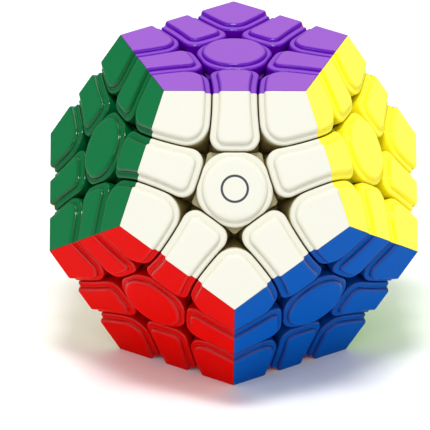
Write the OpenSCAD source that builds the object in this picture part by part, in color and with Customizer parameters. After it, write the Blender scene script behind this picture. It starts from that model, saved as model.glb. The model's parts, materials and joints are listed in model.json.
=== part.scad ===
// Dodecahedron twisty puzzle with twelve turning faces, in millimetres.
// The origin is the middle of the core. +Z runs out through the top (purple) face and the
// puzzle rests on the pink face. White faces -Y.
//
// Every turning layer is bounded by one surface of revolution about its face's axis: a wide
// cone in the outer zone and a second, wider-angled cone in the foot zone near the core. The
// step between the two is what holds the puzzle together: edge feet run under the centres
// and corner feet run under the edges.

/* [Puzzle] */
// Length of one edge of the dodecahedron
edge_length = 29.5; // [28:0.5:34]
// Gap between neighbouring pieces
gap = 0.3; // [0.2:0.05:0.4]
// Seam between the coloured shells that make up one edge or corner piece
seam = 0.04; // [0.03:0.01:0.06]

/* [Tiles] */
// Height of each tile's raised field above its shoulder
tile_step = 0.85; // [0.5:0.05:1.2]
// Width of the shoulder round each raised field
shoulder = 1.3; // [1:0.1:1.6]
// Wall thickness of the hollow pieces
wall = 1.5; // [1.2:0.1:1.8]

/* [Mechanism] */
// Radius of the ball-shaped core
core_r = 15.2; // [14.8:0.1:15.3]
// Radius at which the feet end and the outer zone starts
foot_top_r = 19.5; // [19:0.1:20]
// Half-angle of the layer surface in the foot zone
foot_angle = 48; // [47:0.5:48.5]
// Shank diameter of the centre screws
screw_d = 2.5; // [2:0.1:2.6]
// Outer diameter of the centre springs
spring_d = 5.0; // [4.6:0.1:5.2]

/* [Hidden] */

$fn = 96;

// Faces: direction as azimuth from +X and elevation, then colour
ring_tilt = atan(1 / 2);
PURPLE     = [0, 90, [0.52, 0.30, 0.72]];
PINK       = [0, -90, [0.95, 0.55, 0.72]];
WHITE      = [-90, ring_tilt, [0.96, 0.96, 0.92]];
YELLOW     = [-18, ring_tilt, [1.0, 0.95, 0.15]];
ORANGE     = [54, ring_tilt, [1.0, 0.48, 0.08]];
LIGHT_BLUE = [126, ring_tilt, [0.45, 0.75, 0.92]];
GREEN      = [198, ring_tilt, [0.10, 0.45, 0.25]];
BLUE       = [-54, -ring_tilt, [0.02, 0.30, 0.70]];
LIME       = [18, -ring_tilt, [0.55, 0.85, 0.20]];
GRAY       = [90, -ring_tilt, [0.55, 0.56, 0.58]];
CREAM      = [162, -ring_tilt, [0.98, 0.93, 0.70]];
RED        = [234, -ring_tilt, [0.88, 0.08, 0.03]];
FACES = [PURPLE, WHITE, YELLOW, ORANGE, LIGHT_BLUE, GREEN, BLUE, LIME, GRAY, CREAM, RED, PINK];
FIXED_FACES = [WHITE, YELLOW, ORANGE, LIGHT_BLUE, GREEN, LIME, GRAY, RED, PINK];
UPPER_FACES = [PURPLE, WHITE, YELLOW, ORANGE, LIGHT_BLUE, GREEN];
LOWER_FACES = [PINK, BLUE, LIME, GRAY, CREAM, RED];
core_grey = [0.22, 0.22, 0.24];
steel = [0.75, 0.76, 0.78];

// Dodecahedron
face_h = edge_length * sqrt(250 + 110 * sqrt(5)) / 20;
beyond = 1.5 * edge_length;

// Layer surface in the outer zone: height above the core against distance from the axis
cone_tip = 0.2045 * edge_length;
cone_slope = 0.603;
tip_shift = sqrt(1 + cone_slope * cone_slope);

// Rounding where four pieces meet: each outline and raised field ends at a radius about the
// line out to its vertex, edge or face
corner_trim_r = 0.347 * edge_length;
corner_field_r = 0.307 * edge_length;
edge_trim_r = 0.3645 * edge_length;
edge_field_r = 0.3355 * edge_length;
cap_trim_r = 0.284 * edge_length;
cap_field_r = 0.235 * edge_length;
base_trim_r = 0.318 * edge_length;

// Feet
piece_inner_r = core_r + 0.4;
half_gap = gap / 2;
neck_r = foot_top_r + 3;
edge_neck_r = 3.1;
edge_neck_h = 4;
join = 0.2;

// Core
core_wall = 2.2;
boss_r = 2.7;
boss_start = 7.6;
pin_r = 0.8;
pin_h = 1.6;
pin_clearance = 0.1;
thread_clearance = 0.05;

// Centre base and cap
stem_r = 4.0;
stem_floor = 1.8;
cavity_r = 3.0;
screw_clearance = 0.35;
cap_depth = 3.2;
cap_joint = 0.05;
mouth_r = 5.0;
mouth_depth = 2.2;
plug_r = 4.9;
plug_wall = 1.0;
plug_reach = 2.0;
cap_skin = 1.6;
cap_hollow_r = 5.6;
stem_z = piece_inner_r;
floor_z = stem_z + stem_floor;
base_top_z = face_h - cap_depth;

// Screw, washer and spring
screw_r = screw_d / 2;
screw_recess = 0.9;
screw_start = boss_start + screw_recess;
head_r = 2.5;
head_h = 1.8;
head_taper = 0.4;
slot_w = 0.7;
slot_l = 3.2;
slot_depth = 1.0;
washer_r = 2.75;
washer_h = 0.5;
washer_clearance = 0.15;
washer_z = 25.0;
head_z = washer_z + washer_h;
wire_r = 0.3;
spring_turns = 4;
spring_steps = 8;
wire_sides = 6;
spring_clearance = 0.1;
spring_z = floor_z + wire_r + spring_clearance;
spring_end = washer_z - wire_r - spring_clearance;

// Direction of a face as a unit vector
function normal(face) = [
    cos(face[1]) * cos(face[0]),
    cos(face[1]) * sin(face[0]),
    sin(face[1])
];

// Turns +Z to a face's direction
module on_face(face) {
    rotate([0, 0, face[0]]) rotate([0, 90 - face[1], 0]) children();
}

// Turns +Z to any vector
module along(v) {
    rotate([0, acos(v[2] / norm(v)), atan2(v[1], v[0])]) children();
}

// Faces that share an edge
function touches(p, q) = p != q && normal(p) * normal(q) > 0.4;
function neighbours(face) = [for (f = FACES) if (touches(f, face)) f];

// Azimuth of face b seen in the frame that on_face(a) turns to
function bearing(a, b) =
    let (
        n = normal(b),
        x = n[0] * cos(a[0]) + n[1] * sin(a[0]),
        y = n[1] * cos(a[0]) - n[0] * sin(a[0])
    )
    atan2(y, x * sin(a[1]) - n[2] * cos(a[1]));

// Moves a shape drawn on the purple face, next to the white face, to face a, next to face b
module place(a, b) {
    on_face(a) rotate([0, 0, bearing(a, b) - WHITE[0]]) children();
}

// Solid of one layer in the outer zone, up to the height top, drawn in by inset
module layer_cone(face, inset, top) {
    tip = cone_tip + inset * tip_shift;
    on_face(face)
        translate([0, 0, tip])
            cylinder(h = top - tip, r1 = 0, r2 = (top - tip) / cone_slope);
}

// Solid of one layer in the foot zone, drawn in by inset
module foot_cone(face, inset) {
    tip = inset / sin(foot_angle);
    depth = foot_top_r + 2;
    on_face(face)
        translate([0, 0, tip])
            cylinder(h = depth, r1 = 0, r2 = depth * tan(foot_angle));
}

// Slab just under the purple face's plane that holds the raised field of a tile
module field_slab() {
    depth = tile_step + join;
    translate([0, 0, face_h - depth]) cylinder(h = depth, r = edge_length);
}

// Half of space where a point is nearer to face a than to face b
module nearer_to(a, b) {
    along(normal(a) - normal(b))
        translate([-beyond, -beyond, seam / 2])
            cube([2 * beyond, 2 * beyond, beyond]);
}

// Shell between the core and the top of the feet
module foot_shell() {
    difference() {
        sphere(r = foot_top_r - half_gap);
        sphere(r = piece_inner_r);
    }
}

// ---------- corner pieces ----------
// Each piece is drawn once, on the purple face, and then placed.

// Corner of the purple, white and yellow faces, outside the sphere of radius floor_r
module corner_outline(inset, drop, floor_r) {
    difference() {
        intersection() {
            layer_cone(PURPLE, inset, face_h - drop);
            layer_cone(WHITE, inset, face_h - drop);
            layer_cone(YELLOW, inset, face_h - drop);
        }
        sphere(r = floor_r);
    }
}

module corner_foot() {
    intersection() {
        foot_cone(PURPLE, half_gap);
        foot_cone(WHITE, half_gap);
        foot_cone(YELLOW, half_gap);
        foot_shell();
    }
}

// Cylinder about the line out to the corner
module corner_trim(r) {
    along(normal(PURPLE) + normal(WHITE) + normal(YELLOW)) cylinder(h = beyond, r = r);
}

// Raised field of the corner on the purple face
module corner_field() {
    intersection() {
        field_slab();
        layer_cone(WHITE, half_gap + shoulder, face_h);
        layer_cone(YELLOW, half_gap + shoulder, face_h);
        corner_trim(corner_field_r);
    }
}

// The third of a corner piece that carries the purple face's tile
module corner_shell() {
    difference() {
        intersection() {
            union() {
                corner_outline(half_gap, tile_step, foot_top_r - half_gap - join);
                corner_field();
                corner_foot();
            }
            nearer_to(PURPLE, WHITE);
            nearer_to(PURPLE, YELLOW);
            corner_trim(corner_trim_r);
        }
        corner_outline(half_gap + wall, tile_step + wall, neck_r);
    }
}

// Corner piece where faces a, b and c meet
module corner(a, b, c) {
    runs_left = cross(normal(a), normal(b)) * normal(c) > 0;
    order = runs_left ? [a, b, c] : [a, c, b];
    for (i = [0:2])
        color(order[i][2]) place(order[i], order[(i + 1) % 3]) corner_shell();
}

// ---------- edge pieces ----------

// The two faces at the ends of the edge between the purple and white faces
EDGE_ENDS = [YELLOW, GREEN];

// Cylinder about the line out to the middle of the edge
module edge_trim(r) {
    along(normal(PURPLE) + normal(WHITE)) cylinder(h = beyond, r = r);
}

// Edge of the purple and white faces, outside the sphere of radius floor_r
module edge_outline(inset, drop, floor_r) {
    difference() {
        intersection() {
            layer_cone(PURPLE, inset, face_h - drop);
            layer_cone(WHITE, inset, face_h - drop);
            edge_trim(edge_trim_r);
        }
        for (f = EDGE_ENDS) layer_cone(f, -inset, beyond);
        sphere(r = floor_r);
    }
}

module edge_foot() {
    difference() {
        intersection() {
            foot_cone(PURPLE, half_gap);
            foot_cone(WHITE, half_gap);
            foot_shell();
        }
        for (f = EDGE_ENDS) foot_cone(f, -half_gap);
    }
}

// Round neck that joins an edge's foot to its outer part, between two corner feet
module edge_neck() {
    along(normal(PURPLE) + normal(WHITE))
        translate([0, 0, foot_top_r - edge_neck_h / 2])
            cylinder(h = edge_neck_h, r = edge_neck_r);
}

// Raised field of the edge on the purple face
module edge_field() {
    difference() {
        intersection() {
            field_slab();
            layer_cone(WHITE, half_gap + shoulder, face_h);
            edge_trim(edge_field_r);
        }
        for (f = EDGE_ENDS) layer_cone(f, -half_gap - shoulder, beyond);
    }
}

// The half of an edge piece that carries the purple face's tile
module edge_shell() {
    difference() {
        intersection() {
            union() {
                edge_outline(half_gap, tile_step, foot_top_r + half_gap);
                edge_field();
                edge_neck();
                edge_foot();
            }
            nearer_to(PURPLE, WHITE);
        }
        edge_outline(half_gap + wall, tile_step + wall, neck_r);
    }
}

// Edge piece between faces a and b
module edge(a, b) {
    color(a[2]) place(a, b) edge_shell();
    color(b[2]) place(b, a) edge_shell();
}

module edges(pairs) {
    for (pair = pairs) edge(pair[0], pair[1]);
}

// ---------- centre pieces ----------

// Cylinder of radius r between two heights, cut back to the five layers round the centre
module centre_block(low, high, r, inset) {
    difference() {
        translate([0, 0, low]) cylinder(h = high - low, r = r);
        for (f = neighbours(PURPLE)) layer_cone(f, -half_gap - inset, beyond);
    }
}

module centre_base_shell() {
    difference() {
        union() {
            difference() {
                centre_block(foot_top_r - 3, base_top_z, base_trim_r, 0);
                sphere(r = foot_top_r + half_gap);
            }
            translate([0, 0, stem_z]) cylinder(h = foot_top_r + 2 - stem_z, r = stem_r);
        }
        cylinder(h = beyond, r = screw_r + screw_clearance);
        translate([0, 0, floor_z]) cylinder(h = beyond, r = cavity_r);
        translate([0, 0, base_top_z - mouth_depth]) cylinder(h = beyond, r = mouth_r);
    }
}

module centre_cap_shell() {
    skirt_z = base_top_z + cap_joint;
    plug_h = plug_reach + cap_depth - cap_skin + join;
    union() {
        difference() {
            union() {
                centre_block(skirt_z, face_h - tile_step, cap_trim_r, 0);
                centre_block(skirt_z, face_h, cap_field_r, shoulder / 2);
            }
            cylinder(h = face_h - cap_skin, r = cap_hollow_r);
        }
        translate([0, 0, base_top_z - plug_reach])
            difference() {
                cylinder(h = plug_h, r = plug_r);
                translate([0, 0, -1]) cylinder(h = plug_h + 1 - join, r = plug_r - plug_wall);
            }
    }
}

module centre_base(face) {
    color(face[2]) place(face, neighbours(face)[0]) centre_base_shell();
}

module centre_cap(face) {
    color(face[2]) place(face, neighbours(face)[0]) centre_cap_shell();
}

// ---------- core ----------

module core_bosses(faces) {
    for (f = faces)
        on_face(f)
            translate([0, 0, boss_start])
                cylinder(h = core_r - core_wall / 2 - boss_start, r = boss_r);
}

module core_pins(r, h) {
    for (turn = [0:3])
        rotate([0, 0, 45 + 90 * turn])
            translate([core_r - core_wall / 2, 0, -h])
                cylinder(h = 2 * h, r = r);
}

// Half of the hollow ball; side is 1 above the split and -1 below it
module core_shell(side) {
    difference() {
        sphere(r = core_r);
        sphere(r = core_r - core_wall);
        translate([-beyond, -beyond, side > 0 ? -2 * beyond : 0])
            cube(2 * beyond);
    }
}

module screw_holes(faces) {
    for (f = faces)
        on_face(f)
            translate([0, 0, boss_start - 1])
                cylinder(h = core_r, r = screw_r + thread_clearance);
}

module core_upper_half() {
    color(core_grey)
        difference() {
            union() {
                core_shell(1);
                core_bosses(UPPER_FACES);
            }
            screw_holes(UPPER_FACES);
            core_pins(pin_r + pin_clearance, pin_h + pin_clearance);
        }
}

module core_lower_half() {
    color(core_grey)
        translate([0, 0, -seam])
            difference() {
                union() {
                    core_shell(-1);
                    core_bosses(LOWER_FACES);
                    core_pins(pin_r, pin_h);
                }
                screw_holes(LOWER_FACES);
            }
}

// ---------- screws, washers and springs ----------

module screw() {
    difference() {
        union() {
            translate([0, 0, screw_start]) cylinder(h = head_z - screw_start, r = screw_r);
            translate([0, 0, head_z]) cylinder(h = head_h, r1 = head_r, r2 = head_r - head_taper);
        }
        for (turn = [0, 90])
            rotate([0, 0, turn])
                translate([-slot_l / 2, -slot_w / 2, head_z + head_h - slot_depth])
                    cube([slot_l, slot_w, slot_depth + 1]);
    }
}

module washer() {
    translate([0, 0, washer_z])
        difference() {
            cylinder(h = washer_h, r = washer_r);
            translate([0, 0, -1]) cylinder(h = washer_h + 2, r = screw_r + washer_clearance);
        }
}

// Round wire swept along a helix
function helix_point(t) =
    let (mean_r = spring_d / 2 - wire_r, turn = 360 * spring_turns * t)
    [mean_r * cos(turn), mean_r * sin(turn), spring_z + (spring_end - spring_z) * t];
function wire_point(t, k) =
    let (
        turn = 360 * spring_turns * t,
        out = [cos(turn), sin(turn), 0],
        angle = 360 * k / wire_sides
    )
    helix_point(t) + wire_r * (cos(angle) * out + sin(angle) * [0, 0, 1]);

module spring() {
    rings = spring_turns * spring_steps;
    points = [
        for (i = [0:rings]) for (k = [0:wire_sides - 1]) wire_point(i / rings, k)
    ];
    sides = [
        for (i = [0:rings - 1]) for (k = [0:wire_sides - 1])
            let (
                here = i * wire_sides + k,
                beside = i * wire_sides + (k + 1) % wire_sides
            )
            each [
                [here, here + wire_sides, beside + wire_sides],
                [here, beside + wire_sides, beside]
            ]
    ];
    start = [for (k = [0:wire_sides - 1]) k];
    end = [for (k = [wire_sides - 1:-1:0]) rings * wire_sides + k];
    polyhedron(points = points, faces = concat(sides, [start, end]));
}

module centre_screws() {
    color(steel) for (f = FACES) on_face(f) screw();
}

module centre_washers() {
    color(steel) for (f = FACES) on_face(f) washer();
}

module centre_springs() {
    color(steel) for (f = FACES) on_face(f) spring();
}

core_upper_half();
core_lower_half();
centre_screws();
centre_washers();
centre_springs();
centre_base(PURPLE);  // centre_base_purple
centre_base(BLUE);  // centre_base_blue
centre_base(CREAM);  // centre_base_cream
for (f = FIXED_FACES) centre_base(f);  // centre_bases_fixed
centre_cap(PURPLE);  // centre_cap_purple
centre_cap(WHITE);  // centre_cap_white
centre_cap(YELLOW);  // centre_cap_yellow
centre_cap(ORANGE);  // centre_cap_orange
centre_cap(LIGHT_BLUE);  // centre_cap_light_blue
centre_cap(GREEN);  // centre_cap_green
centre_cap(BLUE);  // centre_cap_blue
centre_cap(LIME);  // centre_cap_lime
centre_cap(GRAY);  // centre_cap_gray
centre_cap(CREAM);  // centre_cap_cream
centre_cap(RED);  // centre_cap_red
centre_cap(PINK);  // centre_cap_pink
edge(PURPLE, WHITE);  // edge_purple_white
edge(PURPLE, YELLOW);  // edge_purple_yellow
edge(PURPLE, ORANGE);  // edge_purple_orange
edge(PURPLE, LIGHT_BLUE);  // edge_purple_light_blue
edge(PURPLE, GREEN);  // edge_purple_green
edge(BLUE, WHITE);  // edge_blue_white
edge(BLUE, YELLOW);  // edge_blue_yellow
edge(BLUE, LIME);  // edge_blue_lime
edge(BLUE, RED);  // edge_blue_red
edge(BLUE, PINK);  // edge_blue_pink
edge(CREAM, LIGHT_BLUE);  // edge_cream_light_blue
edge(CREAM, GREEN);  // edge_cream_green
edge(CREAM, GRAY);  // edge_cream_gray
edge(CREAM, RED);  // edge_cream_red
edge(CREAM, PINK);  // edge_cream_pink
edges([[WHITE, YELLOW], [YELLOW, ORANGE], [ORANGE, LIGHT_BLUE], [LIGHT_BLUE, GREEN], [GREEN, WHITE]]);  // edges_upper_belt
edges([[YELLOW, LIME], [ORANGE, LIME], [ORANGE, GRAY], [LIGHT_BLUE, GRAY], [GREEN, RED],  // edges_middle_belt
        [WHITE, RED]]);
edges([[LIME, GRAY], [PINK, LIME], [PINK, GRAY], [PINK, RED]]);  // edges_lower_belt
corner(PURPLE, WHITE, YELLOW);  // corner_purple_white_yellow
corner(PURPLE, YELLOW, ORANGE);  // corner_purple_yellow_orange
corner(PURPLE, ORANGE, LIGHT_BLUE);  // corner_purple_orange_light_blue
corner(PURPLE, LIGHT_BLUE, GREEN);  // corner_purple_light_blue_green
corner(PURPLE, GREEN, WHITE);  // corner_purple_green_white
corner(BLUE, WHITE, YELLOW);  // corner_blue_white_yellow
corner(BLUE, YELLOW, LIME);  // corner_blue_yellow_lime
corner(BLUE, LIME, PINK);  // corner_blue_lime_pink
corner(BLUE, PINK, RED);  // corner_blue_pink_red
corner(BLUE, RED, WHITE);  // corner_blue_red_white
corner(CREAM, LIGHT_BLUE, GREEN);  // corner_cream_light_blue_green
corner(CREAM, GREEN, RED);  // corner_cream_green_red
corner(CREAM, RED, PINK);  // corner_cream_red_pink
corner(CREAM, PINK, GRAY);  // corner_cream_pink_gray
corner(CREAM, GRAY, LIGHT_BLUE);  // corner_cream_gray_light_blue
corner(GREEN, WHITE, RED);  // corner_green_white_red
corner(YELLOW, ORANGE, LIME);  // corner_yellow_orange_lime
corner(ORANGE, LIGHT_BLUE, GRAY);  // corner_orange_light_blue_gray
corner(ORANGE, LIME, GRAY);  // corner_orange_lime_gray
corner(PINK, LIME, GRAY);  // corner_pink_lime_gray
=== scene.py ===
"""Finished pieces of a dodecahedron twisty puzzle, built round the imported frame.

Each coloured shell is drawn once, next to the purple and white faces, as rings that run from
the raised field of its tile down over the shoulder and the cut walls to the foot. Copies are
then turned into place, coloured in the mass and made to ride on their layer.
"""

import itertools
import json
import logging
import math
from dataclasses import dataclass, field, replace
from enum import Enum
from typing import Callable, Sequence

import bmesh
import bpy
from mathutils import Matrix, Vector


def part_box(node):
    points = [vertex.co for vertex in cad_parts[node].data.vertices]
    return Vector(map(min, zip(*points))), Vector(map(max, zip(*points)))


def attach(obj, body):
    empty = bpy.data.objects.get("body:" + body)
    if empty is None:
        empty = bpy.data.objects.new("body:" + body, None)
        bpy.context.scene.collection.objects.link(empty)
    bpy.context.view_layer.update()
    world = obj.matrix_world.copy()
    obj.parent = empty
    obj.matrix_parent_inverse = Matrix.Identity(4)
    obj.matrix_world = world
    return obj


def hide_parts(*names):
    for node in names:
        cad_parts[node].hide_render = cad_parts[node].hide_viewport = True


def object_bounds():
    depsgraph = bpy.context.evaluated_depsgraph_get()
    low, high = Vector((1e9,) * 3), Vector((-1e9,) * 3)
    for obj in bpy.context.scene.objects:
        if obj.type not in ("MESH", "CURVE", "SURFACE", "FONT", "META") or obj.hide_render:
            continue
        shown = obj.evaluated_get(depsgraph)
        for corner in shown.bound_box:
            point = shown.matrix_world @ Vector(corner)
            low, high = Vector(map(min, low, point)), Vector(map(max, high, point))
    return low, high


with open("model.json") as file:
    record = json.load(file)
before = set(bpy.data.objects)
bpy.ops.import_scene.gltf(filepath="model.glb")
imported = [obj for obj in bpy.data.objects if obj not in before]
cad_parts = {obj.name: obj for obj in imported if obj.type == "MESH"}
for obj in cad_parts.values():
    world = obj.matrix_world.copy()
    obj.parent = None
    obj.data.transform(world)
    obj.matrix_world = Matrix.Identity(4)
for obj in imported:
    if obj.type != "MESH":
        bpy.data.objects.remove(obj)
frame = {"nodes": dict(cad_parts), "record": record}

CAD_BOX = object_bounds()
LOG = logging.getLogger("puzzle")

MM = 0.001

# Dodecahedron: tilt of the two rings of faces, half of a face's corner, and a value just under
# the cosine between neighbouring faces' normals.
RING_TILT = math.degrees(math.atan(0.5))
CORNER_HALF_ANGLE = math.radians(54.0)
NEIGHBOUR_COSINE = 0.4

# Cuts: the cone's tip as a share of the edge, its slope, and the half angle of the foot cone.
TIP_SHARE = 0.2045
CONE_SLOPE = 0.603
FOOT_ANGLE = math.radians(48.0)

# Search for the outlines: how far a ray looks, how often it is halved, how much finer the trial
# rays are than the kept ones, and how often a height on a sphere is corrected.
REACH = 24.0 * MM
HALVINGS = 26
FINENESS = 10
SPHERE_PASSES = 5

# Meshes: merging distance, rings on a cut wall, height over which the outline's corners open
# above the foot, their share of the rounding at the foot, and the angle of a crisp edge.
WELD = 0.002 * MM
WALL_STEPS = 6
WALL_RAMP = 8.0 * MM
FOOT_SHARE = 0.2
SHARP_ANGLE = math.radians(35.0)


class Side(Enum):
    """The twelve faces, each as its azimuth from +X and its elevation, in degrees."""

    PURPLE = (0.0, 90.0)
    WHITE = (-90.0, RING_TILT)
    YELLOW = (-18.0, RING_TILT)
    ORANGE = (54.0, RING_TILT)
    LIGHT_BLUE = (126.0, RING_TILT)
    GREEN = (198.0, RING_TILT)
    BLUE = (-54.0, -RING_TILT)
    LIME = (18.0, -RING_TILT)
    GRAY = (90.0, -RING_TILT)
    CREAM = (162.0, -RING_TILT)
    RED = (234.0, -RING_TILT)
    PINK = (0.0, -90.0)

    @property
    def normal(self) -> Vector:
        """Unit vector out through the face.

        Returns:
            The face's normal.
        """
        azimuth, elevation = (math.radians(angle) for angle in self.value)
        flat = math.cos(elevation)
        return Vector((flat * math.cos(azimuth), flat * math.sin(azimuth), math.sin(elevation)))

    @property
    def label(self) -> str:
        """The face's colour as it stands in node and piece names."""
        return self.name.lower()

    def touches(self, other: "Side") -> bool:
        """Whether the two faces share an edge."""
        return self is not other and self.normal.dot(other.normal) > NEIGHBOUR_COSINE

    def neighbours(self) -> list["Side"]:
        """The five faces that share an edge with this one."""
        return [side for side in Side if self.touches(side)]


def axes_from(first: Vector, second: Vector) -> Matrix:
    """Axes with Z along one vector and X towards another.

    Args:
        first: The direction of Z.
        second: A direction in the X-Z plane.

    Returns:
        A rotation whose columns are X, Y and Z.
    """
    z_axis = first.normalized()
    x_axis = (second - second.dot(z_axis) * z_axis).normalized()
    return Matrix((x_axis, z_axis.cross(x_axis), z_axis)).transposed()


def placement(side: Side, beside: Side) -> Matrix:
    """Turn that takes the purple face to one side and the white face to its neighbour.

    Args:
        side: Where a shape drawn on the purple face goes.
        beside: Where the white face's direction goes.

    Returns:
        A 4 x 4 rotation about the middle of the core.
    """
    drawn = axes_from(Side.PURPLE.normal, Side.WHITE.normal)
    return (axes_from(side.normal, beside.normal) @ drawn.transposed()).to_4x4()


@dataclass(frozen=True)
class LayerCut:
    """The cone about a face's axis that bounds one turning layer.

    Attributes:
        tip: Height of the cone's tip on the axis, in metres.
        slope: Height gained per metre away from the axis.
    """

    tip: float
    slope: float

    def depth_inside(self, point: Vector, axis: Vector) -> float:
        """How deep a point lies inside the layer.

        Args:
            point: The point.
            axis: The layer's axis.

        Returns:
            The distance to the layer's surface, negative outside it.
        """
        along = point.dot(axis)
        away = math.sqrt(max(point.length_squared - along**2, 0.0))
        return (along - self.tip - self.slope * away) / math.hypot(1.0, self.slope)


def rounded_min(first: float, second: float, radius: float) -> float:
    """Smaller of two depths, with the corner between their surfaces rounded.

    Args:
        first: Depth behind one surface.
        second: Depth behind the other.
        radius: Radius of the rounding.

    Returns:
        Depth behind the rounded pair of surfaces.
    """
    if first < radius and second < radius:
        return radius - math.hypot(radius - first, radius - second)
    return min(first, second)


def cast(start: Vector, ray: Vector, depth_at: Callable[[Vector], float], wanted: float) -> Vector:
    """Point along a ray where a depth has fallen to a wanted value.

    Args:
        start: Where the ray starts, deeper than wanted.
        ray: Its unit direction.
        depth_at: The depth at a point.
        wanted: The depth to stop at.

    Returns:
        The point.
    """
    near, far = 0.0, REACH
    for _ in range(HALVINGS):
        middle = (near + far) / 2.0
        if depth_at(start + ray * middle) > wanted:
            near = middle
        else:
            far = middle
    return start + ray * near


@dataclass(frozen=True)
class Level:
    """One step of a tile's profile.

    Attributes:
        depth: Distance below the face's plane.
        inset: Distance in from the cut wall.
        chamfer: Distance in from the dodecahedron's own edge.
    """

    depth: float
    inset: float
    chamfer: float


@dataclass(frozen=True)
class TileProfile:
    """Section across the rim of a tile, in metres.

    Attributes:
        shoulder: Width of the shoulder.
        rounding: Radius of the outline's corners at the cut walls.
        field_rounding: The same for the outline at the foot of the raised field.
        step: Height of the raised field above the shoulder.
        crown: Height of the rounding along the field's upper rim.
        crown_w: Width of that rounding.
        flat_from: Where the flat field starts, in widths of that rounding from the shoulder.
        cove: Radius of the hollow at the field's foot.
        lip: Radius of the shoulder's outer rim.
        ridge: Chamfer along the dodecahedron's edges.
        seam: Half of the seam between two coloured shells.
        steps: Segments in each rounding.
    """

    shoulder: float
    rounding: float
    field_rounding: float
    step: float = 0.85 * MM
    crown: float = 0.68 * MM
    crown_w: float = 0.85 * MM
    flat_from: float = 1.3
    cove: float = 0.15 * MM
    lip: float = 0.5 * MM
    ridge: float = 0.07 * MM
    seam: float = 0.012 * MM
    steps: int = 5

    def levels(self) -> list[Level]:
        """The rim's levels, from the flat field out and down to the cut wall.

        Returns:
            The levels, in order.
        """
        levels = [Level(0.0, self.shoulder + self.flat_from * self.crown_w, self.ridge)]
        for angle in self._quarter():
            drop = self.crown * (1.0 - math.cos(angle))
            levels.append(self._level(drop, self.shoulder + self.crown_w * (1.0 - math.sin(angle))))
        for angle in self._quarter():
            drop = self.step - self.cove * (1.0 - math.sin(angle))
            levels.append(self._level(drop, self.shoulder - self.cove * (1.0 - math.cos(angle))))
        for angle in self._quarter():
            drop = self.step + self.lip * (1.0 - math.cos(angle))
            levels.append(self._level(drop, self.lip * (1.0 - math.sin(angle))))
        return levels

    def radius_at(self, inset: float) -> float:
        """Rounding of the outline at a distance in from the cut wall."""
        return self.rounding + (self.field_rounding - self.rounding) * inset / self.shoulder

    def _quarter(self) -> list[float]:
        """Angles of a quarter turn, both ends included."""
        return [math.pi / 2.0 * index / self.steps for index in range(self.steps + 1)]

    def _level(self, depth: float, inset: float) -> Level:
        """A level whose chamfer runs out with its depth."""
        return Level(depth, inset, max(self.seam, self.ridge - depth))


class Loft:
    """A closed solid grown ring by ring from its first outline."""

    def __init__(self, first: Sequence[Vector], open_ends: bool = False) -> None:
        """Starts the solid.

        Args:
            first: The corners of the first ring, or none to take them from the first growth.
            open_ends: Whether the last ring joins the first, instead of both being closed.
        """
        self.mesh = bmesh.new()
        self.open_ends = open_ends
        self.ring: list[bmesh.types.BMVert] = []
        self.first: list[bmesh.types.BMVert] = []
        if first:
            self._start(first)

    def grow(self, targets: Sequence[Vector]) -> None:
        """Extrudes the open ring to a new one with as many corners.

        Args:
            targets: Where each corner goes.
        """
        if not self.ring:
            self._start(targets)
            return
        edges = self._rim(self.ring)
        made = bmesh.ops.extrude_edge_only(self.mesh, edges=edges)["geom"]
        fresh = {item for item in made if isinstance(item, bmesh.types.BMVert)}
        following = []
        for corner, target in zip(self.ring, targets):
            risers = (edge.other_vert(corner) for edge in corner.link_edges)
            riser = next(vert for vert in risers if vert in fresh)
            riser.co = target
            following.append(riser)
        self.ring = following

    def finish(self, name: str) -> bpy.types.Mesh:
        """Closes the solid and turns it into a mesh.

        Args:
            name: The mesh's name.

        Returns:
            The mesh, with its faces outwards.
        """
        if self.open_ends:
            bmesh.ops.bridge_loops(self.mesh, edges=self._rim(self.first) + self._rim(self.ring))
        else:
            bmesh.ops.contextual_create(self.mesh, geom=self._rim(self.first))
            bmesh.ops.contextual_create(self.mesh, geom=self._rim(self.ring))
        bmesh.ops.remove_doubles(self.mesh, verts=self.mesh.verts, dist=WELD)
        bmesh.ops.recalc_face_normals(self.mesh, faces=self.mesh.faces)
        for face in self.mesh.faces:
            face.smooth = True
        for edge in self.mesh.edges:
            edge.smooth = edge.calc_face_angle(0.0) < SHARP_ANGLE
        made = bpy.data.meshes.new(name)
        self.mesh.to_mesh(made)
        self.mesh.free()
        return made

    def _start(self, points: Sequence[Vector]) -> None:
        """Makes the first ring.

        Args:
            points: Where its corners go.
        """
        self.ring = bmesh.ops.create_circle(self.mesh, segments=len(points), radius=1.0)["verts"]
        for corner, point in zip(self.ring, points):
            corner.co = point
        self.first = list(self.ring)

    def _rim(self, ring: Sequence[bmesh.types.BMVert]) -> list[bmesh.types.BMEdge]:
        """The edges from each corner of a ring to the next."""
        return [self.mesh.edges.get(pair) for pair in zip(ring, list(ring[1:]) + [ring[0]])]


@dataclass(frozen=True)
class Mechanism:
    """Sizes that all pieces share, in metres.

    Attributes:
        face_h: Distance from the middle of the core to each face.
        outer: Layer surface from the feet outwards.
        foot: Layer surface in the foot zone.
        half_gap: Half of the running gap between pieces.
        foot_top: Radius of the sphere where the feet end.
        foot_floor: Radius of the sphere that the feet run on.
    """

    face_h: float
    outer: LayerCut
    foot: LayerCut
    half_gap: float = 0.15 * MM
    foot_top: float = 19.5 * MM
    foot_floor: float = 15.6 * MM

    @classmethod
    def from_frame(cls) -> "Mechanism":
        """Reads the size of the puzzle from the top centre cap of the frame.

        Returns:
            The shared sizes.
        """
        face_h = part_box("centre_cap_purple")[1].z
        edge = face_h * 20.0 / math.sqrt(250.0 + 110.0 * math.sqrt(5.0))
        return cls(
            face_h=face_h,
            outer=LayerCut(tip=TIP_SHARE * edge, slope=CONE_SLOPE),
            foot=LayerCut(tip=0.0, slope=1.0 / math.tan(FOOT_ANGLE)),
        )


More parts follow.
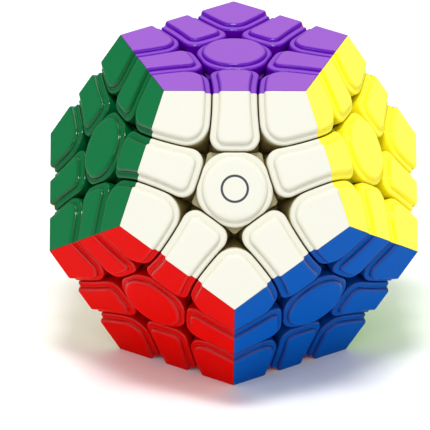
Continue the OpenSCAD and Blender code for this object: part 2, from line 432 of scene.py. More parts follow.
@dataclass
class TileShell:
    """A coloured shell that stands on the line out to a vertex or an edge.

    Attributes:
        mechanism: The sizes that all pieces share.
        profile: The section of the tile's rim.
        axis: Unit vector out to the vertex or to the middle of the edge.
        within: Layers that the piece belongs to, besides its own face's.
        outside: Layers that the piece ends against.
        spread: Angle of the last rays from the middle one, at which the shell meets the next.
        rays: Corners of the outline's cut side.
        forward: Direction across the axis to the middle of the tile.
        directions: Directions across the axis to the outline's corners.
    """

    mechanism: Mechanism
    profile: TileProfile
    axis: Vector
    within: tuple[Side, ...]
    outside: tuple[Side, ...]
    spread: float
    rays: int
    forward: Vector = field(init=False)
    directions: list[Vector] = field(init=False)

    def __post_init__(self) -> None:
        """Spaces the rays so that the outline's corners are evenly set along it."""
        normal = Side.PURPLE.normal
        self.forward = (normal - normal.dot(self.axis) * self.axis).normalized()
        fine = FINENESS * self.rays
        turns = [self.spread * (2.0 * index / fine - 1.0) for index in range(fine + 1)]
        self.directions = [self._direction(turn) for turn in turns]
        outline = self._level_ring(Level(0.0, 0.0, 0.0))[1:]
        lengths = [0.0]
        for here, there in zip(outline, outline[1:]):
            lengths.append(lengths[-1] + (there - here).length)
        wanted = [lengths[-1] * index / (self.rays - 1) for index in range(self.rays - 1)]
        picked = [next(k for k, run in enumerate(lengths) if run >= length) for length in wanted]
        self.directions = [self.directions[k] for k in picked] + [self.directions[-1]]

    def build(self, name: str) -> bpy.types.Mesh:
        """Lofts the shell from its field to its foot.

        Args:
            name: The mesh's name.

        Returns:
            The shell's mesh, on the purple face.
        """
        sizes = self.mechanism
        over, under = sizes.foot_top + sizes.half_gap, sizes.foot_top - sizes.half_gap
        rings = [self._level_ring(level) for level in self.profile.levels()]
        rim = rings[-1]
        lower = self._ring_at_radius(over if self.outside else under, sizes.outer, sizes.outer)
        rings += [self._wall_ring(rim, lower, step / WALL_STEPS) for step in range(1, WALL_STEPS)]
        rings.append(lower)
        if self.outside:
            rings.append(self._ring_at_radius(over, sizes.outer, sizes.foot))
            rings.append(self._ring_at_radius(under, sizes.outer, sizes.foot))
        rings.append(self._ring_at_radius(under, sizes.foot, sizes.foot))
        rings.append(self._ring_at_radius(sizes.foot_floor, sizes.foot, sizes.foot))
        loft = Loft(rings[0])
        for ring in rings[1:]:
            loft.grow(ring)
        return loft.finish(name)

    def _direction(self, turn: float) -> Vector:
        """Direction across the axis at an angle from the middle of the tile."""
        return math.cos(turn) * self.forward + math.sin(turn) * self.axis.cross(self.forward)

    def _depth(self, own: LayerCut, ends: LayerCut, radius: float) -> Callable[[Vector], float]:
        """Depth behind the piece's cut walls.

        Args:
            own: Shape of the layers that the piece belongs to.
            ends: Shape of the layers that it ends against.
            radius: Rounding of the outline's corners.

        Returns:
            The depth as a function of the point.
        """

        def depth_at(point: Vector) -> float:
            """Depth of one point.

            Args:
                point: The point.

            Returns:
                Its depth.
            """
            inner = [own.depth_inside(point, side.normal) for side in self.within]
            outer = [-ends.depth_inside(point, side.normal) for side in self.outside]
            return rounded_min(inner[0], min(inner[1:] + outer), radius)

        return depth_at

    def _level_ring(self, level: Level) -> list[Vector]:
        """Ring parallel to the face at one level of the profile.

        Args:
            level: The level.

        Returns:
            The ring's corners, the first one on the axis.
        """
        normal, sizes = Side.PURPLE.normal, self.mechanism
        lean = normal.dot(self.axis)
        half_angle = math.pi / 2.0 if self.outside else CORNER_HALF_ANGLE
        inward = (self.forward - normal.dot(self.forward) / lean * self.axis).normalized()
        start = self.axis * ((sizes.face_h - level.depth) / lean)
        start += inward * (level.chamfer / math.sin(half_angle))
        depth_at = self._depth(sizes.outer, sizes.outer, self.profile.radius_at(level.inset))
        ring = [start]
        for direction in self.directions:
            ray = (direction - normal.dot(direction) / lean * self.axis).normalized()
            ring.append(cast(start, ray, depth_at, sizes.half_gap + level.inset))
        return ring

    def _across(self, height: float, direction: Vector, own: LayerCut, ends: LayerCut) -> Vector:
        """Point of the cut wall at a height along the axis, in one direction from it.

        Args:
            height: The height.
            direction: The direction.
            own: Shape of the layers that the piece belongs to.
            ends: Shape of the layers that it ends against.

        Returns:
            The point.
        """
        start = self.axis * height + self.forward * self.profile.seam
        outward = min(1.0, max(0.0, (height - self.mechanism.foot_top) / WALL_RAMP))
        radius = self.profile.rounding * (FOOT_SHARE + (1.0 - FOOT_SHARE) * outward)
        return cast(start, direction, self._depth(own, ends, radius), self.mechanism.half_gap)

    def _wall_ring(self, rim: list[Vector], lower: list[Vector], share: float) -> list[Vector]:
        """Ring on the cut wall, part of the way from the rim to a lower ring.

        Args:
            rim: The ring at the rim.
            lower: The lower ring.
            share: How far down it lies, from 0 to 1.

        Returns:
            The ring's corners.
        """
        outer = self.mechanism.outer
        heights = [high.lerp(low, share).dot(self.axis) for high, low in zip(rim, lower)]
        ring = [self.axis * heights[0] + self.forward * self.profile.seam]
        for height, direction in zip(heights[1:], self.directions):
            ring.append(self._across(height, direction, outer, outer))
        return ring

    def _ring_at_radius(self, radius: float, own: LayerCut, ends: LayerCut) -> list[Vector]:
        """Ring on the cut wall at a distance from the middle of the core.

        Args:
            radius: The distance.
            own: Shape of the layers that the piece belongs to.
            ends: Shape of the layers that it ends against.

        Returns:
            The ring's corners.
        """
        ring = [self.axis * radius + self.forward * self.profile.seam]
        for direction in self.directions:
            height = radius
            for _ in range(SPHERE_PASSES):
                point = self._across(height, direction, own, ends)
                away = (point - point.dot(self.axis) * self.axis).length
                height = math.sqrt(max(radius**2 - away**2, 0.0))
            ring.append(point)
        return ring


@dataclass
class CentreShapes:
    """Cap and base of a centre, drawn on the purple face.

    Attributes:
        mechanism: The sizes that all pieces share.
        profile: The section of the cap's rim.
        base_rounding: Radius of the base's five corners.
        edge: Radius that breaks the base's edges.
        rays: Corners of each ring.
        cap_depth: Height of the cap.
        cap_skin: Thickness of the cap's top.
        joint: Gap between the cap's skirt and the base.
        hollow_r: Radius of the cap's hollow.
        plug_r: Radius of the cap's plug.
        plug_wall: Thickness of the plug.
        plug_reach: How far the plug goes into the base.
        mouth_r: Radius of the base's mouth.
        mouth_depth: Depth of the base's mouth.
        well_r: Radius of the spring's well.
        well_floor: Thickness of the base below the well.
        stem_r: Radius of the base's stem.
        hole_r: Radius of the screw's hole.
    """

    mechanism: Mechanism
    profile: TileProfile
    base_rounding: float = 0.7 * MM
    edge: float = 0.2 * MM
    rays: int = 90
    cap_depth: float = 3.2 * MM
    cap_skin: float = 1.6 * MM
    joint: float = 0.05 * MM
    hollow_r: float = 5.6 * MM
    plug_r: float = 4.9 * MM
    plug_wall: float = 1.0 * MM
    plug_reach: float = 2.0 * MM
    mouth_r: float = 5.0 * MM
    mouth_depth: float = 2.2 * MM
    well_r: float = 3.0 * MM
    well_floor: float = 1.8 * MM
    stem_r: float = 4.0 * MM
    hole_r: float = 1.6 * MM

    def build_cap(self, name: str) -> bpy.types.Mesh:
        """Lofts the cap with its hollow and its plug.

        Args:
            name: The mesh's name.

        Returns:
            The cap's mesh.
        """
        top = self.mechanism.face_h
        skirt = top - self.cap_depth + self.joint
        ceiling = top - self.cap_skin
        plug_end = top - self.cap_depth - self.plug_reach
        bore_r = self.plug_r - self.plug_wall
        loft = Loft([])
        for level in self.profile.levels():
            loft.grow(self._outline(top - level.depth, level.inset, self.profile.radius_at(level.inset)))
        loft.grow(self._outline(skirt, 0.0, self.profile.rounding))
        for radius, height in (
            (self.hollow_r, skirt),
            (self.hollow_r, ceiling),
            (self.plug_r, ceiling),
            (self.plug_r, plug_end),
            (bore_r, plug_end),
            (bore_r, ceiling),
        ):
            loft.grow(self._circle(height, radius))
        return loft.finish(name)

    def build_base(self, name: str) -> bpy.types.Mesh:
        """Lofts the base with its stem, spring well and screw hole.

        Args:
            name: The mesh's name.

        Returns:
            The base's mesh.
        """
        sizes = self.mechanism
        rim = sizes.face_h - self.cap_depth
        over = sizes.foot_top + sizes.half_gap
        lowest = math.sqrt(over**2 - self._outline(over, 0.0, self.base_rounding)[0].xy.length_squared)
        loft = Loft([], open_ends=True)
        for radius, height in (
            (self.hole_r, sizes.foot_floor + self.well_floor),
            (self.well_r, sizes.foot_floor + self.well_floor),
            (self.well_r, rim - self.mouth_depth),
            (self.mouth_r, rim - self.mouth_depth),
            (self.mouth_r, rim),
        ):
            loft.grow(self._circle(height, radius))
        broken = 0.3 * self.edge
        for drop, inset in ((0.0, self.edge), (broken, broken), (self.edge, 0.0)):
            loft.grow(self._outline(rim - drop, inset, self.base_rounding))
        for step in range(1, WALL_STEPS + 1):
            height = rim - self.edge + (lowest - rim + self.edge) * step / WALL_STEPS
            loft.grow(self._outline(height, 0.0, self.base_rounding))
        for radius, height in (
            (self.stem_r, math.sqrt(over**2 - self.stem_r**2)),
            (self.stem_r, sizes.foot_floor + self.edge),
            (self.stem_r - self.edge, sizes.foot_floor),
            (self.hole_r, sizes.foot_floor),
        ):
            loft.grow(self._circle(height, radius))
        return loft.finish(name)

    def _directions(self) -> list[Vector]:
        """Directions across the purple axis, evenly round it."""
        turns = [2.0 * math.pi * index / self.rays for index in range(self.rays)]
        return [Vector((math.cos(turn), math.sin(turn), 0.0)) for turn in turns]

    def _outline(self, height: float, inset: float, radius: float) -> list[Vector]:
        """Ring of the centre's outline at a height.

        Args:
            height: The height along the purple axis.
            inset: How far the outline is drawn in.
            radius: Rounding of its five corners.

        Returns:
            The ring's corners.
        """
        sizes = self.mechanism
        axes = [side.normal for side in Side.PURPLE.neighbours()]

        def depth_at(point: Vector) -> float:
            """Depth behind the nearest two of the five layers round the centre.

            Args:
                point: The point.

            Returns:
                Its depth.
            """
            depths = sorted(-sizes.outer.depth_inside(point, axis) for axis in axes)
            return rounded_min(depths[0], depths[1], radius)

        start = Vector((0.0, 0.0, height))
        return [cast(start, ray, depth_at, sizes.half_gap + inset) for ray in self._directions()]

    def _circle(self, height: float, radius: float) -> list[Vector]:
        """Round ring about the centre's axis."""
        return [Vector((0.0, 0.0, height)) + radius * ray for ray in self._directions()]


class Val:
    """A shader socket that can be used in Python arithmetic."""

    def __init__(self, graph: "Graph", socket: bpy.types.NodeSocket) -> None:
        """Wraps a socket.

        Args:
            graph: The graph that new nodes go into.
            socket: The output that holds the value.
        """
        self.graph = graph
        self.socket = socket

    def _math(self, operation: str, *terms: "Val | float", clamp: bool = False) -> "Val":
        """A Math node on these terms."""
        settings = {"operation": operation, "use_clamp": clamp}
        return self.graph.node("ShaderNodeMath", settings, *terms)

    def __add__(self, other: "Val | float") -> "Val":
        """Sum."""
        return self._math("ADD", self, other)

    def __sub__(self, other: "Val | float") -> "Val":
        """Difference."""
        return self._math("SUBTRACT", self, other)

    def __rsub__(self, other: float) -> "Val":
        """Difference from a number."""
        return self._math("SUBTRACT", other, self)

    def __mul__(self, other: "Val | float") -> "Val":
        """Product."""
        return self._math("MULTIPLY", self, other)

    def __truediv__(self, other: "Val | float") -> "Val":
        """Quotient."""
        return self._math("DIVIDE", self, other)

    def __rtruediv__(self, other: float) -> "Val":
        """Quotient of a number."""
        return self._math("DIVIDE", other, self)

    def __pow__(self, other: "Val | float") -> "Val":
        """Power."""
        return self._math("POWER", self, other)

    __radd__ = __add__
    __rmul__ = __mul__

    def clamped(self) -> "Val":
        """The value held between 0 and 1."""
        return self._math("ADD", self, 0.0, clamp=True)


class Graph:
    """A material's nodes, ending in a Principled shader."""

    def __init__(self, name: str) -> None:
        """Makes a material with nothing but its shader and output.

        Args:
            name: The material's name.
        """
        self.material = bpy.data.materials.new(name)
        self.material.use_nodes = True
        self.tree = self.material.node_tree
        self.shader = self.tree.nodes["Principled BSDF"]

    def node(
        self, kind: str, settings: dict[str, object], *terms: object, output: int | str = 0, **named: object
    ) -> Val:
        """Adds one node.

        Args:
            kind: The node's type.
            settings: Its own settings, which are made first.
            *terms: Values or links of its sockets, in order.
            output: The output to return.
            **named: Values or links of sockets by name, with _ for a space.

        Returns:
            The wanted output.
        """
        made = self.tree.nodes.new(kind)
        for key, value in settings.items():
            setattr(made, key, value)
        for index, value in enumerate(terms):
            self.feed(made.inputs[index], value)
        for key, value in named.items():
            self.feed(made.inputs[key.replace("_", " ")], value)
        return Val(self, made.outputs[output])

    def feed(self, socket: bpy.types.NodeSocket, value: object) -> None:
        """Links a socket, or sets it to a plain value.

        Args:
            socket: The input.
            value: A Val, a number or a colour.
        """
        if isinstance(value, Val):
            self.tree.links.new(value.socket, socket)
        else:
            socket.default_value = value

    def place(self) -> Val:
        """The point's place in the puzzle, in metres."""
        return self.node("ShaderNodeTexCoord", {}, output="Object")

    def facing(self) -> Val:
        """Direction out of the surface, turning with the piece."""
        return self.node("ShaderNodeTexCoord", {}, output="Normal")

    def noise(self, scale: float, detail: float, roughness: float = 0.5) -> Val:
        """Noise between 0 and 1.

        Args:
            scale: Features per metre.
            detail: Number of finer layers.
            roughness: Strength of each finer layer.

        Returns:
            The noise.
        """
        sockets = {"Vector": self.place(), "Scale": scale, "Detail": detail, "Roughness": roughness}
        return self.node("ShaderNodeTexNoise", {"noise_dimensions": "3D"}, **sockets)

    def mix(self, share: Val, first: object, second: object) -> Val:
        """Colour between two colours.

        Args:
            share: Share of the second colour.
            first: The first colour.
            second: The second colour.

        Returns:
            The mixed colour.
        """
        made = self.tree.nodes.new("ShaderNodeMix")
        made.data_type = "RGBA"
        self.feed(made.inputs["Factor"], share)
        self.feed(made.inputs["A"], first)
        self.feed(made.inputs["B"], second)
        return Val(self, made.outputs["Result"])

    def dot(self, vector: Val, direction: "Val | Vector") -> Val:
        """Dot product of a vector with a direction or another vector."""
        terms = (vector, direction if isinstance(direction, Val) else tuple(direction))
        return self.node("ShaderNodeVectorMath", {"operation": "DOT_PRODUCT"}, *terms, output="Value")

    def bump(self, height: Val, strength: float, distance: float) -> Val:
        """Normal tilted by a height."""
        sockets = {"Strength": strength, "Distance": distance, "Height": height}
        return self.node("ShaderNodeBump", {}, output="Normal", **sockets)


Colour = tuple[float, float, float, float]


def rgb(red: float, green: float, blue: float) -> Colour:
    """A linear colour with full alpha."""
    return (red, green, blue, 1.0)


@dataclass(frozen=True)
class MouldedPlastic:
    """Glossy plastic coloured in the mass, with painted shade on its crowns, walls and shoulders and down in
    the gaps.

    Attributes:
        colour: Colour of the raised fields.
        deep: Colour of the painted shade on the crowns, steep walls and shoulders, darker and more saturated
            than the fields.
        hollow: Colour of the painted shade far down in the gaps.
        roughness: Roughness of the polished fields.
        specular: Strength of the reflections.
        shading: How far the painted shade in the gaps goes towards the hollow colour.
        sheen: Weight of the clear, polished layer along the rims.
        walls: Share of the painted shade colour on the crowns and steep walls.
        shelves: Share of the painted shade colour on the shoulders and below them.
        ring_r: Radius of a printed ring on the face, or 0 for none.
        ring_w: Half of the ring's width.
        ink: Colour of the ring.
    """

    colour: Colour
    deep: Colour
    hollow: Colour = (0.0, 0.0, 0.0, 1.0)
    roughness: float = 0.2
    specular: float = 0.012
    shading: float = 0.5
    sheen: float = 0.42
    walls: float = 0.95
    shelves: float = 0.3
    ring_r: float = 0.0
    ring_w: float = 0.28 * MM
    ink: Colour = (0.06, 0.065, 0.08, 1.0)

    def build(self, name: str, side: Side, face_h: float) -> bpy.types.Material:
        """Makes the material for one face's pieces.

        Args:
            name: The material's name.
            side: The face whose plane depth is measured from.
            face_h: The plane's distance from the middle of the core.

        Returns:
            The material.
        """
        graph = Graph(name)
        depth = (face_h - graph.dot(graph.place(), side.normal)) / MM
        # Painted shade: surfaces that turn away from the face, the crowns and walls, take the deep colour;
        # the same slope also lays the clear coat on the rims.
        slope = ((0.995 - graph.dot(graph.facing(), side.normal)) / 0.16).clamped()
        # Painted shade on the shoulders and everything below them, growing with the depth under the face;
        # the same depth also roughens the recesses a little.
        recess = ((depth - 0.2) / 0.8).clamped() * self.shelves
        cloud = graph.noise(scale=70.0, detail=2.0)
        # Painted shade from the slope and the depth, with a random mottle in the plastic's tone; the colour
        # below carries that painted shade.
        shade_and_mottle = (slope * self.walls + recess + (cloud - 0.5) * 0.1).clamped()
        moulded = graph.mix(shade_and_mottle, self.colour, self.deep)
        # Painted shade far down in the gaps, running towards the hollow colour.
        shade = ((depth - 1.6) / 5.0).clamped() * self.shading
        moulded = graph.mix(shade, moulded, self.hollow)
        if self.ring_r > 0.0:
            moulded = graph.mix(self._ring(graph, side), moulded, self.ink)
        graph.feed(graph.shader.inputs["Base Color"], moulded)
        handling = graph.noise(scale=260.0, detail=4.0, roughness=0.6)
        worn = self.roughness + (handling - 0.5) * 0.1 + recess * 0.05
        graph.feed(graph.shader.inputs["Roughness"], worn)
        flow = graph.noise(scale=520.0, detail=3.0)
        graph.feed(graph.shader.inputs["Normal"], graph.bump(flow, 0.05, 0.05 * MM))
        graph.shader.inputs["Specular IOR Level"].default_value = self.specular
        rims = slope * ((2.2 - depth) / 0.6).clamped()
        graph.feed(graph.shader.inputs["Coat Weight"], rims * self.sheen)
        graph.shader.inputs["Coat Roughness"].default_value = 0.15
        graph.shader.inputs["Coat IOR"].default_value = 1.6
        return graph.material

    def dimmed(self, share: float) -> "MouldedPlastic":
        """A copy of the plastic in painted shade, with all its colours darkened.

        Args:
            share: What is left of the brightness.

        Returns:
            The darker plastic, in painted shade.
        """
        shades = (self.colour, self.deep, self.hollow)
        darker = [rgb(*(channel * share for channel in shade[:3])) for shade in shades]
        return replace(self, colour=darker[0], deep=darker[1], hollow=darker[2])

    def _ring(self, graph: Graph, side: Side) -> Val:
        """Where the printed ring lies on the face.

        Args:
            graph: The material's graph.
            side: The face that it is printed on.

        Returns:
            A mask, 1 on the ring.
        """
        place = graph.place()
        along = graph.dot(place, side.normal)
        away = (graph.dot(place, place) - along * along) ** 0.5
        off = (away - self.ring_r) / self.ring_w
        return (1.0 - (off * off) ** 4.0).clamped()


@dataclass(frozen=True)
class SatinNylon:
    """Dark moulded plastic of the core.

    Attributes:
        colour: The darker colour of its grain.
        pale: The paler colour of its grain.
    """

    colour: Colour = rgb(0.035, 0.035, 0.04)
    pale: Colour = rgb(0.07, 0.07, 0.075)

    def build(self, name: str) -> bpy.types.Material:
        """Makes the material.

        Args:
            name: The material's name.

        Returns:
            The material.
        """
        graph = Graph(name)
        grain = graph.noise(scale=900.0, detail=4.0)
        graph.feed(graph.shader.inputs["Base Color"], graph.mix(grain, self.colour, self.pale))
        graph.feed(graph.shader.inputs["Roughness"], 0.42 + grain * 0.15)
        graph.feed(graph.shader.inputs["Normal"], graph.bump(grain, 0.15, 0.05 * MM))
        return graph.material


@dataclass(frozen=True)
class PlatedSteel:
    """Plated or drawn steel of the small hardware.

    Attributes:
        colour: The clean metal.
        stain: The duller patches.
        roughness: The lowest roughness.
    """

    colour: Colour = rgb(0.56, 0.57, 0.6)
    stain: Colour = rgb(0.42, 0.41, 0.38)
    roughness: float = 0.28

    def build(self, name: str) -> bpy.types.Material:
        """Makes the material.

        Args:
            name: The material's name.

        Returns:
            The material.
        """
        graph = Graph(name)
        bloom = graph.noise(scale=400.0, detail=3.0)
        scratch = graph.noise(scale=2400.0, detail=2.0)
        graph.feed(graph.shader.inputs["Base Color"], graph.mix(bloom, self.colour, self.stain))
        graph.feed(graph.shader.inputs["Roughness"], self.roughness + scratch * 0.15)
        graph.shader.inputs["Metallic"].default_value = 1.0
        return graph.material


# Each face's plastic: the colour of its fields, then the colour of painted shade on its crowns, walls and
# shoulders.
FINISHES: dict[Side, MouldedPlastic] = {
    Side.PURPLE: MouldedPlastic(rgb(0.25, 0.09, 0.44), rgb(0.10, 0.0, 0.36)),
    # The white's hollow colour is an olive painted shade down in the gaps, put on strongly.
    Side.WHITE: MouldedPlastic(
        rgb(0.69, 0.687, 0.605), rgb(0.66, 0.645, 0.53), hollow=rgb(0.85, 0.72, 0.34), shading=0.9
    ),
    Side.YELLOW: MouldedPlastic(rgb(0.97, 0.93, 0.10), rgb(0.95, 0.83, 0.01)),
    Side.ORANGE: MouldedPlastic(rgb(0.95, 0.27, 0.02), rgb(0.85, 0.14, 0.003)),
    Side.LIGHT_BLUE: MouldedPlastic(rgb(0.22, 0.52, 0.80), rgb(0.08, 0.36, 0.68)),
    Side.GREEN: MouldedPlastic(rgb(0.005, 0.155, 0.047), rgb(0.0, 0.09, 0.022)),
    Side.BLUE: MouldedPlastic(rgb(0.0, 0.09, 0.43), rgb(0.0, 0.045, 0.27)),
    Side.LIME: MouldedPlastic(rgb(0.28, 0.68, 0.04), rgb(0.14, 0.5, 0.004)),
    Side.GRAY: MouldedPlastic(rgb(0.33, 0.34, 0.36), rgb(0.2, 0.21, 0.23)),
    Side.CREAM: MouldedPlastic(rgb(0.92, 0.79, 0.45), rgb(0.88, 0.68, 0.28)),
    Side.RED: MouldedPlastic(rgb(0.70, 0.001, 0.0), rgb(0.54, 0.0, 0.0)),
    Side.PINK: MouldedPlastic(rgb(0.92, 0.33, 0.52), rgb(0.84, 0.16, 0.35)),
}


@dataclass
class Puzzle:
    """The whole puzzle: its finishes, its shells and the layers they ride on.

    Attributes:
        mechanism: The sizes that all pieces share.
        corner_rim: Section of a corner's rim.
        edge_rim: Section of an edge's rim.
        cap_rim: Section of a centre cap's rim.
        corner_rays: Corners of the outline of a corner's shell.
        edge_rays: The same for an edge's shell.
        base_shade: What is left of the colours' brightness on the centre bases, which are darkened as
            painted shade.
        ring_r: Radius of the ring printed on the white cap.
    """

    mechanism: Mechanism
    corner_rim: TileProfile = TileProfile(shoulder=1.2 * MM, rounding=5.4 * MM, field_rounding=5.2 * MM)
    edge_rim: TileProfile = TileProfile(shoulder=1.35 * MM, rounding=3.2 * MM, field_rounding=3.4 * MM)
    cap_rim: TileProfile = TileProfile(shoulder=0.8 * MM, rounding=4.4 * MM, field_rounding=5.8 * MM)
    corner_rays: int = 45
    edge_rays: int = 65
    base_shade: float = 0.42
    ring_r: float = 2.7 * MM

    def __post_init__(self) -> None:
        """Prepares the finishes and the shapes."""
        bodies = frame["record"]["behaviour"]["bodies"]
        self.nodes = frame["nodes"]
        self.body_of_node = {node: body for body, nodes in bodies.items() for node in nodes}
        self._mix_plastics()
        self._draw_shapes()

    def _mix_plastics(self) -> None:
        """Makes the plastics of the tiles, their copies darkened as painted shade for the centre bases, and
        the printed one.
        """
        face_h = self.mechanism.face_h
        # The centre bases sit under the caps; their plastics are darkened copies, as painted shade.
        bases = {side: finish.dimmed(self.base_shade) for side, finish in FINISHES.items()}
        # The white base's painted shade is an olive grey, on its field and on its walls.
        white_base_shade, white_base_wall_shade = rgb(0.40, 0.37, 0.25), rgb(0.38, 0.35, 0.22)
        bases[Side.WHITE] = replace(bases[Side.WHITE], colour=white_base_shade, deep=white_base_wall_shade)
        printed = replace(FINISHES[Side.WHITE], ring_r=self.ring_r)
        self.plastics = {
            side: finish.build(f"plastic_{side.label}", side, face_h) for side, finish in FINISHES.items()
        }
        self.base_plastics = {
            side: finish.build(f"shaded_{side.label}", side, face_h) for side, finish in bases.items()
        }
        self.printed_white = printed.build("printed_white", Side.WHITE, face_h)

    def _draw_shapes(self) -> None:
        """Draws one shell of each kind on the purple face."""
        purple, white, yellow = Side.PURPLE.normal, Side.WHITE.normal, Side.YELLOW.normal
        corner = TileShell(
            self.mechanism,
            self.corner_rim,
            axis=(purple + white + yellow).normalized(),
            within=(Side.WHITE, Side.YELLOW),
            outside=(),
            spread=math.radians(60.0),
            rays=self.corner_rays,
        )
        edge = TileShell(
            self.mechanism,
            self.edge_rim,
            axis=(purple + white).normalized(),
            within=(Side.WHITE,),
            outside=(Side.YELLOW, Side.GREEN),
            spread=math.radians(90.0),
            rays=self.edge_rays,
        )
        centres = CentreShapes(self.mechanism, self.cap_rim)
        self.corner_shape = corner.build("corner_shell")
        self.edge_shape = edge.build("edge_shell")
        self.cap_shape = centres.build_cap("centre_cap")
        self.base_shape = centres.build_base("centre_base")

    def build(self) -> None:
        """Makes every visible piece and dresses the hidden ones."""
        self._centres()
        self._edges()
        self._corners()
        self._hardware()

    def _shell(
        self,
        name: str,
        shape: bpy.types.Mesh,
        side: Side,
        beside: Side,
        node: str,
        material: bpy.types.Material | None = None,
    ) -> bpy.types.Object:
        """Places one coloured shell.

        Args:
            name: The piece's name.
            shape: The mesh to copy, drawn on the purple face.
            side: The face it belongs to.
            beside: The neighbouring face that the white face goes to.
            node: The frame's node that it stands for.
            material: Its material, or none for the face's own plastic.

        Returns:
            The placed piece.
        """
        mesh = shape.copy()
        mesh.name = name
        mesh.transform(placement(side, beside))
        mesh.materials.append(material or self.plastics[side])
        piece = bpy.data.objects.new(name, mesh)
        bpy.context.scene.collection.objects.link(piece)
        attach(piece, self.body_of_node[node])
        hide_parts(node)
        LOG.info("%s for %s", name, node)
        return piece

    def _centres(self) -> None:
        """Makes the twelve caps and the twelve bases under them."""
        for side in Side:
            beside = side.neighbours()[0]
            own_base = f"centre_base_{side.label}"
            base_node = own_base if own_base in self.nodes else "centre_bases_fixed"
            cap = f"centre_cap_{side.label}"
            printed = self.printed_white if side is Side.WHITE else None
            self._shell(f"{cap}.shell", self.cap_shape, side, beside, cap, printed)
            # The bases take the copies darkened as painted shade.
            shaded = self.base_plastics[side]
            self._shell(f"{own_base}.shell", self.base_shape, side, beside, base_node, shaded)
        LOG.info("centres: %d caps and bases", len(Side))

    def _edges(self) -> None:
        """Makes the two coloured halves of each of the thirty edges."""
        pairs = [pair for pair in itertools.combinations(Side, 2) if pair[0].touches(pair[1])]
        for pair in pairs:
            node = self._edge_node(*pair)
            name = "edge_" + "_".join(side.label for side in pair)
            for side, beside in (pair, pair[::-1]):
                self._shell(f"{name}.{side.label}", self.edge_shape, side, beside, node)
        LOG.info("edges: %d pieces of two shells", len(pairs))

    def _edge_node(self, first: Side, second: Side) -> str:
        """The node that holds an edge, its own or that of its belt.

        Args:
            first: One of the edge's faces.
            second: The other.

        Returns:
            The node's name.
        """
        for labels in ((first.label, second.label), (second.label, first.label)):
            own = "edge_" + "_".join(labels)
            if own in self.nodes:
                return own
        heights = sorted(side.normal.z for side in (first, second))
        if heights[0] > 0.0:
            return "edges_upper_belt"
        return "edges_middle_belt" if heights[1] > 0.0 else "edges_lower_belt"

    def _corners(self) -> None:
        """Makes the three coloured thirds of each of the twenty corners."""
        count = 0
        for trio in itertools.combinations(Side, 3):
            if not all(a.touches(b) for a, b in itertools.combinations(trio, 2)):
                continue
            first, second, third = trio
            if first.normal.cross(second.normal).dot(third.normal) < 0.0:
                second, third = third, second
            orders = ["corner_" + "_".join(s.label for s in order) for order in itertools.permutations(trio)]
            node = next(name for name in orders if name in self.nodes)
            for side, beside in ((first, second), (second, third), (third, first)):
                self._shell(f"{node}.{side.label}", self.corner_shape, side, beside, node)
            count += 1
        LOG.info("corners: %d pieces of three shells", count)

    def _hardware(self) -> None:
        """Gives the core, screws, washers and springs their materials."""
        nylon = SatinNylon().build("core_nylon")
        plated = PlatedSteel().build("screw_steel")
        drawn = PlatedSteel(rgb(0.45, 0.45, 0.47), rgb(0.3, 0.29, 0.28), 0.34).build("spring_steel")
        finishes = {
            "core_upper_half": nylon,
            "core_lower_half": nylon,
            "centre_screws": plated,
            "centre_washers": plated,
            "centre_springs": drawn,
        }
        for node, material in finishes.items():
            slots = self.nodes[node].material_slots
            for index in range(len(slots)):
                slots[index].material = material
            LOG.info("%s: %s", node, material.name)


def seen_from(azimuth: float, elevation: float) -> Vector:
    """Direction from the puzzle to a light or the camera.

    Args:
        azimuth: Angle round the puzzle from -Y towards +X, in degrees.
        elevation: Angle above the horizon, in degrees.

    Returns:
        A unit vector.
    """
    turn, lift = math.radians(azimuth), math.radians(elevation)
    return Vector((math.sin(turn) * math.cos(lift), -math.cos(turn) * math.cos(lift), math.sin(lift)))


@dataclass(frozen=True)
class Softbox:
    """A rectangular area light aimed at the puzzle.

    Attributes:
        name: The light's name.
        azimuth: Angle round the puzzle from -Y towards +X, in degrees.
        elevation: Angle above the horizon, in degrees.
        width: Length of its level side.
        height: Length of its other side.
        power: Power in watts.
        distance: Distance from the middle of the puzzle.
    """

    name: str
    azimuth: float
    elevation: float
    width: float
    height: float
    power: float
    distance: float = 0.9

    def build(self) -> None:
        """Hangs the light."""
        data = bpy.data.lights.new(self.name, "AREA")
        data.shape = "RECTANGLE"
        data.size = self.width
        data.size_y = self.height
        data.energy = self.power
        lamp = bpy.data.objects.new(self.name, data)
        towards = seen_from(self.azimuth, self.elevation)
        lamp.location = towards * self.distance
        lamp.rotation_mode = "QUATERNION"
        lamp.rotation_quaternion = towards.to_track_quat("Z", "Y")
        bpy.context.scene.collection.objects.link(lamp)


@dataclass(frozen=True)
class LongLens:
    """The camera: far off with a long lens, so that edges stay almost parallel.

    Attributes:
        azimuth: Angle round the puzzle from -Y towards +X, in degrees.
        elevation: Angle above the horizon, in degrees.
        roll: Turn about the line of sight, in degrees.
        distance: Distance from the middle of the puzzle, in metres.
        aside: Offset along the picture's width, in metres.
        above: Offset along the picture's height, in metres.
        lens: Focal length in millimetres on a 36 mm sensor.
    """

    azimuth: float = -0.371
    elevation: float = 25.37
    roll: float = 0.265
    distance: float = 2.0868
    aside: float = -0.00388
    above: float = -0.00476
    lens: float = 830.9

    def build(self) -> None:
        """Makes the camera and hands it to the scene."""
        turn = math.radians(self.azimuth)
        back = seen_from(self.azimuth, self.elevation)
        right = Vector((math.cos(turn), math.sin(turn), 0.0))
        up = back.cross(right)
        tilt = Matrix.Rotation(math.radians(self.roll), 3, back)
        place = back * self.distance + right * self.aside + up * self.above
        axes = tilt @ Matrix((right, up, back)).transposed()
        data = bpy.data.cameras.new("camera")
        data.lens = self.lens
        data.sensor_width = 36.0
        data.clip_start = 0.1
        data.clip_end = 20.0
        camera = bpy.data.objects.new("camera", data)
        camera.matrix_world = Matrix.Translation(place) @ axes.to_4x4()
        bpy.context.scene.collection.objects.link(camera)
        bpy.context.scene.camera = camera


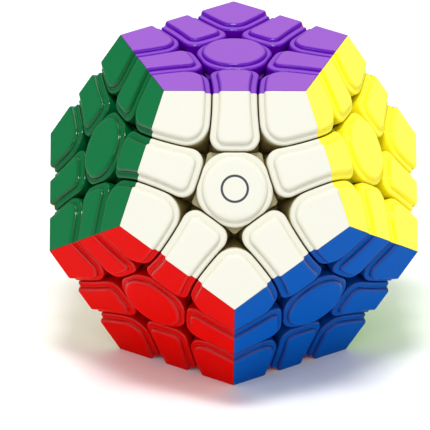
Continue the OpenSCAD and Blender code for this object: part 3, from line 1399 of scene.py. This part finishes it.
@dataclass(frozen=True)
class Studio:
    """Pale floor, soft light and camera.

    Attributes:
        floor_reach: Half of the floor's side, in metres.
        ambient: Strength of the light from all round.
        camera: The camera.
        boxes: The lights.
    """

    floor_reach: float = 6.0
    ambient: float = 0.47
    camera: LongLens = LongLens()
    boxes: tuple[Softbox, ...] = (
        Softbox("key_light", azimuth=-6.0, elevation=76.0, width=0.3, height=0.14, power=5.6),
        Softbox("left_fill", azimuth=-40.0, elevation=42.0, width=0.9, height=0.6, power=1.1),
        Softbox("right_fill", azimuth=40.0, elevation=42.0, width=0.9, height=0.6, power=1.1),
        Softbox("left_glint", azimuth=-50.0, elevation=30.0, width=0.2, height=0.12, power=0.4),
        Softbox("right_glint", azimuth=45.0, elevation=32.0, width=0.2, height=0.12, power=0.35),
        Softbox("back_light", azimuth=180.0, elevation=62.0, width=0.7, height=0.4, power=2.2),
    )

    def build(self) -> None:
        """Sets up the floor, the lights, the surroundings and the camera."""
        self._floor()
        self._surroundings()
        for box in self.boxes:
            box.build()
        self.camera.build()
        bpy.context.scene.view_settings.view_transform = "Standard"

    def _floor(self) -> None:
        """Lays a pale floor under the puzzle."""
        mesh = bpy.data.meshes.new("floor")
        shape = bmesh.new()
        bmesh.ops.create_grid(shape, x_segments=1, y_segments=1, size=self.floor_reach)
        bmesh.ops.translate(shape, verts=shape.verts, vec=(0.0, 0.0, CAD_BOX[0].z))
        shape.to_mesh(mesh)
        shape.free()
        graph = Graph("floor_paper")
        fibre = graph.noise(scale=300.0, detail=3.0)
        paper = graph.mix(fibre, rgb(0.93, 0.93, 0.93), rgb(0.95, 0.95, 0.95))
        graph.feed(graph.shader.inputs["Base Color"], paper)
        graph.shader.inputs["Roughness"].default_value = 0.6
        mesh.materials.append(graph.material)
        floor = bpy.data.objects.new("floor", mesh)
        bpy.context.scene.collection.objects.link(floor)

    def _surroundings(self) -> None:
        """Lights the scene evenly from all round."""
        world = bpy.data.worlds.new("surroundings")
        world.use_nodes = True
        background = world.node_tree.nodes["Background"]
        background.inputs["Color"].default_value = rgb(1.0, 1.0, 1.0)
        background.inputs["Strength"].default_value = self.ambient
        bpy.context.scene.world = world


def main() -> None:
    """Builds the puzzle and the studio round it."""
    logging.basicConfig(level=logging.INFO, format="%(name)s: %(message)s")
    Puzzle(Mechanism.from_frame()).build()
    Studio().build()


if __name__ == "__main__":
    main()
